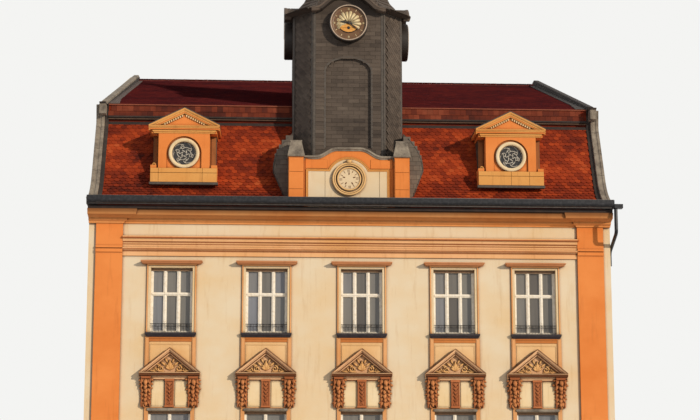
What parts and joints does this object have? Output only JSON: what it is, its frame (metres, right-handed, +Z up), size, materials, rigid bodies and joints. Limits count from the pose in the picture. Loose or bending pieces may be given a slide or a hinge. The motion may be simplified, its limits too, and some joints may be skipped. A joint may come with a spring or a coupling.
{
  "type": "town hall building",
  "caption": "Three-storey town hall in a row with a mansard roof, pedimented dormers, a curved attic gable and a slate-clad clock tower with turning hands.",
  "frame": {"origin": "centre of the footprint, on the ground", "axes": "+Z up, -Y towards the street, +X to the right as seen from the street"},
  "size_m": [15.085, 22.42, 23.45],
  "materials": {
    "cream_render": "painted lime render, matt",
    "orange_render": "painted lime render, matt",
    "dressings": "painted stucco, matt",
    "stone_sill": "dark sheet-covered sill, satin",
    "coping_stone": "weathered stone, rough",
    "floor_slab": "plastered floor, matt",
    "roof_tiles": "plain clay tiles, matt",
    "dark_roof_tiles": "dark clay tiles, matt",
    "slate": "slate hanging, satin",
    "white_paint": "white gloss paint on wood",
    "door_wood": "stained oak, satin",
    "glass": "window glass",
    "gutter_metal": "dark painted sheet, satin",
    "gilding": "gilded metal",
    "dial_paint": "dark painted dial, satin",
    "hand_paint": "dark painted hands"
  },
  "bodies": {
    "building": {"ground_floor_slab": "floor_slab", "first_floor_slab": "floor_slab", "second_floor_slab": "floor_slab", "attic_floor_slab": "floor_slab", "front_wall": "cream_render", "back_wall": "cream_render", "left_party_wall": "cream_render", "right_party_wall": "cream_render", "party_wall_copings": "coping_stone", "plinths": "dressings", "string_course": "orange_render", "pilasters": "orange_render", "architrave": "orange_render", "cornices": "orange_render", "second_floor_surrounds": "dressings", "first_floor_surrounds": "dressings", "ground_floor_surrounds": "dressings", "window_pediments": "dressings", "window_consoles": "dressings", "window_sills": "stone_sill", "window_frames": "white_paint", "window_glass": "glass", "door_frames": "door_wood", "door_leaves": "door_wood", "doorsteps": "coping_stone", "lower_roof_front": "roof_tiles", "lower_roof_back": "roof_tiles", "upper_roof_front": "dark_roof_tiles", "upper_roof_back": "dark_roof_tiles", "break_bands": "roof_tiles", "ridge_cap": "dark_roof_tiles", "dormers": "orange_render", "oculus_rings": "white_paint", "dormer_glass": "glass", "tower_shaft": "slate", "tower_flanks": "slate", "tower_roof": "slate", "tower_finial": "gilding", "attic_gable": "orange_render", "gable_coping": "coping_stone", "medallion": "cream_render", "clock_bezels": "dial_paint", "clock_dials": "dial_paint", "gutters": "gutter_metal", "downpipes": "gutter_metal"},
    "front_minute": {"front_minute_hand": "hand_paint"},
    "front_hour": {"front_hour_hand": "hand_paint"},
    "left_minute": {"left_minute_hand": "hand_paint"},
    "left_hour": {"left_hour_hand": "hand_paint"},
    "right_minute": {"right_minute_hand": "hand_paint"},
    "right_hour": {"right_hour_hand": "hand_paint"}
  },
  "joints": [
    {"name": "front_minute_turn", "type": "hinge", "parent": "building", "child": "front_minute", "pos_m": [-0.08, -10.25, 18.385], "axis": [0, 1, 0], "continuous": true},
    {"name": "front_hour_turn", "type": "hinge", "parent": "building", "child": "front_hour", "pos_m": [-0.08, -10.25, 18.385], "axis": [0, 1, 0], "continuous": true},
    {"name": "left_minute_turn", "type": "hinge", "parent": "building", "child": "left_minute", "pos_m": [-1.67, -8.66, 18.385], "axis": [1, 0, 0], "continuous": true},
    {"name": "left_hour_turn", "type": "hinge", "parent": "building", "child": "left_hour", "pos_m": [-1.67, -8.66, 18.385], "axis": [1, 0, 0], "continuous": true},
    {"name": "right_minute_turn", "type": "hinge", "parent": "building", "child": "right_minute", "pos_m": [1.51, -8.66, 18.385], "axis": [-1, 0, 0], "continuous": true},
    {"name": "right_hour_turn", "type": "hinge", "parent": "building", "child": "right_hour", "pos_m": [1.51, -8.66, 18.385], "axis": [-1, 0, 0], "continuous": true}
  ],
  "couplings": [
    {"joint": "front_hour_turn", "follows": "front_minute_turn", "ratio": 0.083333},
    {"joint": "left_minute_turn", "follows": "front_minute_turn", "ratio": 1},
    {"joint": "left_hour_turn", "follows": "front_minute_turn", "ratio": 0.083333},
    {"joint": "right_minute_turn", "follows": "front_minute_turn", "ratio": 1},
    {"joint": "right_hour_turn", "follows": "front_minute_turn", "ratio": 0.083333}
  ]
}
